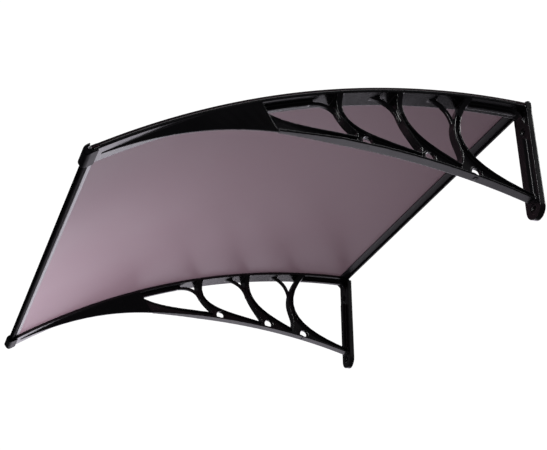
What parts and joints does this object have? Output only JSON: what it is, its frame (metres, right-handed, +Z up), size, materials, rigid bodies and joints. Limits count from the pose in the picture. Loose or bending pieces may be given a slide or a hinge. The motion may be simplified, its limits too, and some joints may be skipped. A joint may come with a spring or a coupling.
{
  "type": "door canopy",
  "caption": "Arched tinted polycarbonate door canopy on black moulded wall brackets with open curved struts, edged by a front bar and a wall bar.",
  "frame": {"origin": "middle of the rear bar's back face: in the wall plane, at mid width, mid-height of the bar's back", "axes": "+Z up, -Y out from the wall towards the front edge, +Y into the wall, +X along the wall"},
  "size_m": [0.8786, 0.8509, 0.3143],
  "materials": {
    "tinted_sheet": "smooth translucent brown tint",
    "bracket_plastic": "semi-gloss moulded black",
    "bar_aluminium": "satin black anodised",
    "cap_plastic": "satin moulded black",
    "seal_rubber": "matte black",
    "screw_steel": "zinc plated"
  },
  "bodies": {
    "root": {"roof_sheet": "tinted_sheet", "front_bar": "bar_aluminium", "rear_bar": "bar_aluminium", "wall_seal": "seal_rubber", "right_bracket": "bracket_plastic", "right_front_cap": "cap_plastic", "right_front_cap_screw": "screw_steel", "right_rear_cap": "cap_plastic", "right_sheet_washer_1": "seal_rubber", "right_sheet_screw_1": "screw_steel", "right_sheet_washer_2": "seal_rubber", "right_sheet_screw_2": "screw_steel", "right_sheet_washer_3": "seal_rubber", "right_sheet_screw_3": "screw_steel", "right_sheet_washer_4": "seal_rubber", "right_sheet_screw_4": "screw_steel", "right_rear_bar_screw": "screw_steel", "right_front_bar_screw": "screw_steel", "left_bracket": "bracket_plastic", "left_front_cap": "cap_plastic", "left_front_cap_screw": "screw_steel", "left_rear_cap": "cap_plastic", "left_sheet_washer_1": "seal_rubber", "left_sheet_screw_1": "screw_steel", "left_sheet_washer_2": "seal_rubber", "left_sheet_screw_2": "screw_steel", "left_sheet_washer_3": "seal_rubber", "left_sheet_screw_3": "screw_steel", "left_sheet_washer_4": "seal_rubber", "left_sheet_screw_4": "screw_steel", "left_rear_bar_screw": "screw_steel", "left_front_bar_screw": "screw_steel"}
  },
  "joints": []
}
